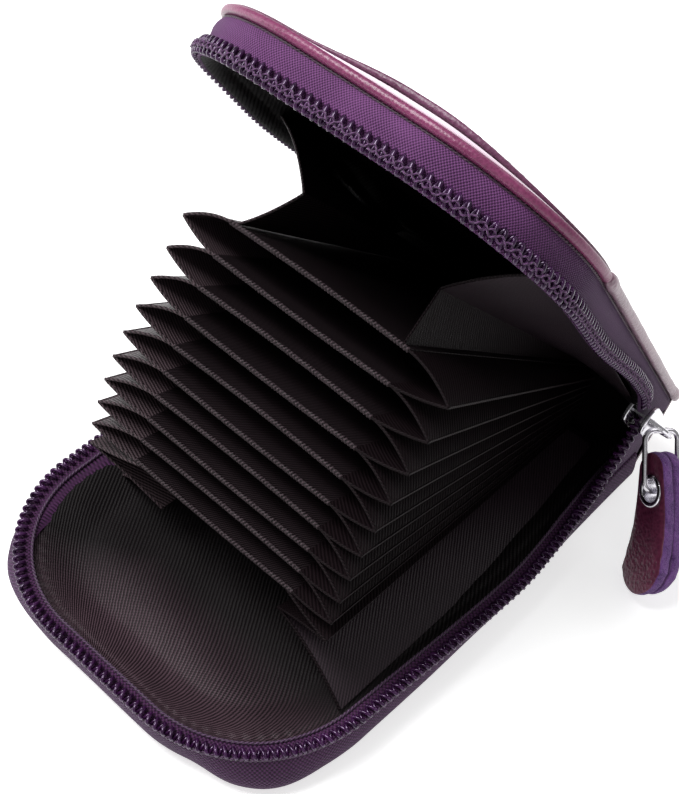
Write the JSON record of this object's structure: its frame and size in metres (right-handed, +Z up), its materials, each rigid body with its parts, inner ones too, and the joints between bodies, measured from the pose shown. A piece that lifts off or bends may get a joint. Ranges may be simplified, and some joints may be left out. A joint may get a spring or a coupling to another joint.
{
  "type": "zip-round card case",
  "caption": "Flat leather card case with a zip on three sides, open on its spine, with an accordion of sewn card pockets between two pleated sides.",
  "frame": {"origin": "Underside of the lower cover, under the middle of the case's width and of its shut length", "axes": "+X to the side with the pull, -Y to the mouths of the pockets, +Y to the spine, +Z up from the table"},
  "size_m": [0.0975, 0.1185, 0.1054],
  "materials": {
    "purple_leather": "smooth plum leather with a soft sheen",
    "woven_tape": "woven zip tape",
    "nylon_coil": "dark purple nylon coil",
    "dark_lining": "ribbed near-black lining with a slight sheen",
    "grey_board": "plain stiffening board, hidden",
    "pale_lining": "pale pink cloth",
    "burgundy_leather": "smooth dark leather",
    "violet_suede": "raw violet suede",
    "chrome": "bright plated metal"
  },
  "bodies": {
    "lower_half": {"lower_cover": "purple_leather", "lower_board": "grey_board", "lower_lining": "dark_lining", "lower_zip_tape": "woven_tape", "lower_zip_coil": "nylon_coil"},
    "spine": {"spine_leather": "purple_leather", "spine_board": "grey_board", "spine_lining": "dark_lining", "left_gusset": "dark_lining", "right_gusset": "dark_lining", "left_zip_gore": "woven_tape", "right_zip_gore": "woven_tape"},
    "lid": {"upper_cover": "purple_leather", "upper_board": "grey_board", "upper_lining": "dark_lining", "upper_zip_tape": "woven_tape", "upper_zip_coil": "nylon_coil", "outer_pocket_lining": "pale_lining", "outer_pocket_panel": "purple_leather"},
    "divider_01": {"divider_01": "dark_lining"},
    "divider_02": {"divider_02": "dark_lining"},
    "divider_03": {"divider_03": "dark_lining"},
    "divider_04": {"divider_04": "dark_lining"},
    "divider_05": {"divider_05": "dark_lining"},
    "divider_06": {"divider_06": "dark_lining"},
    "divider_07": {"divider_07": "dark_lining"},
    "divider_08": {"divider_08": "dark_lining"},
    "divider_09": {"divider_09": "dark_lining"},
    "divider_10": {"divider_10": "dark_lining"},
    "slider": {"slider_body": "chrome"},
    "link": {"pull_link": "chrome"},
    "tab": {"pull_front_leather": "burgundy_leather", "pull_back_suede": "violet_suede", "pull_eyelet": "chrome"}
  },
  "joints": [
    {"name": "spine_fold", "type": "hinge", "parent": "lower_half", "child": "spine", "pos_m": [0, 0.0542, 0.0008], "axis": [-1, 0, 0], "range_deg": [-27.1, 20.1]},
    {"name": "lid_fold", "type": "hinge", "parent": "spine", "child": "lid", "pos_m": [0, 0.06237, 0.01684], "axis": [-1, 0, 0], "range_deg": [-27, 20], "deforming": ["left_gusset", "right_gusset", "left_zip_gore", "right_zip_gore"]},
    {"name": "divider_01_fold", "type": "hinge", "parent": "spine", "child": "divider_01", "pos_m": [0, 0.05806, 0.01499], "axis": [-1, 0, 0], "range_deg": [-11.1, 8.25]},
    {"name": "divider_02_fold", "type": "hinge", "parent": "spine", "child": "divider_02", "pos_m": [0, 0.05752, 0.01392], "axis": [-1, 0, 0], "range_deg": [-8.21, 6.11]},
    {"name": "divider_03_fold", "type": "hinge", "parent": "spine", "child": "divider_03", "pos_m": [0, 0.05697, 0.01285], "axis": [-1, 0, 0], "range_deg": [-5.39, 4.02]},
    {"name": "divider_04_fold", "type": "hinge", "parent": "spine", "child": "divider_04", "pos_m": [0, 0.05643, 0.01178], "axis": [-1, 0, 0], "range_deg": [-2.64, 1.98]},
    {"name": "divider_05_fold", "type": "hinge", "parent": "spine", "child": "divider_05", "pos_m": [0, 0.05589, 0.01072], "axis": [-1, 0, 0], "range_deg": [-0.2, 0.24]},
    {"name": "divider_06_fold", "type": "hinge", "parent": "spine", "child": "divider_06", "pos_m": [0, 0.05534, 0.00965], "axis": [-1, 0, 0], "range_deg": [-2.14, 2.85]},
    {"name": "divider_07_fold", "type": "hinge", "parent": "spine", "child": "divider_07", "pos_m": [0, 0.0548, 0.00858], "axis": [-1, 0, 0], "range_deg": [-4.02, 5.39]},
    {"name": "divider_08_fold", "type": "hinge", "parent": "spine", "child": "divider_08", "pos_m": [0, 0.05425, 0.00751], "axis": [-1, 0, 0], "range_deg": [-5.85, 7.87]},
    {"name": "divider_09_fold", "type": "hinge", "parent": "spine", "child": "divider_09", "pos_m": [0, 0.05371, 0.00644], "axis": [-1, 0, 0], "range_deg": [-7.63, 10.27]},
    {"name": "divider_10_fold", "type": "hinge", "parent": "spine", "child": "divider_10", "pos_m": [0, 0.05316, 0.00537], "axis": [-1, 0, 0], "range_deg": [-9.36, 12.6]},
    {"name": "slider_run", "type": "slide", "parent": "lid", "child": "slider", "axis": [0, -0.5878, 0.809], "range_m": [0, 0.064]},
    {"name": "link_swing", "type": "hinge", "parent": "slider", "child": "link", "pos_m": [0.04085, 0.04842, 0.02277], "axis": [0.4783, 0.8358, -0.2695], "range_deg": [-70, 2]},
    {"name": "tab_swing", "type": "hinge", "parent": "link", "child": "tab", "pos_m": [0.04692, 0.04257, 0.0154], "axis": [0.4783, 0.8358, -0.2695], "range_deg": [-25, 25]}
  ],
  "couplings": [
    {"joint": "spine_fold", "follows": "lid_fold", "ratio": 1},
    {"joint": "divider_01_fold", "follows": "lid_fold", "ratio": 0.4074},
    {"joint": "divider_02_fold", "follows": "lid_fold", "ratio": 0.3004},
    {"joint": "divider_03_fold", "follows": "lid_fold", "ratio": 0.1959},
    {"joint": "divider_04_fold", "follows": "lid_fold", "ratio": 0.0941},
    {"joint": "divider_05_fold", "follows": "lid_fold", "ratio": -0.0052},
    {"joint": "divider_06_fold", "follows": "lid_fold", "ratio": -0.1019},
    {"joint": "divider_07_fold", "follows": "lid_fold", "ratio": -0.196},
    {"joint": "divider_08_fold", "follows": "lid_fold", "ratio": -0.2876},
    {"joint": "divider_09_fold", "follows": "lid_fold", "ratio": -0.3766},
    {"joint": "divider_10_fold", "follows": "lid_fold", "ratio": -0.463}
  ]
}
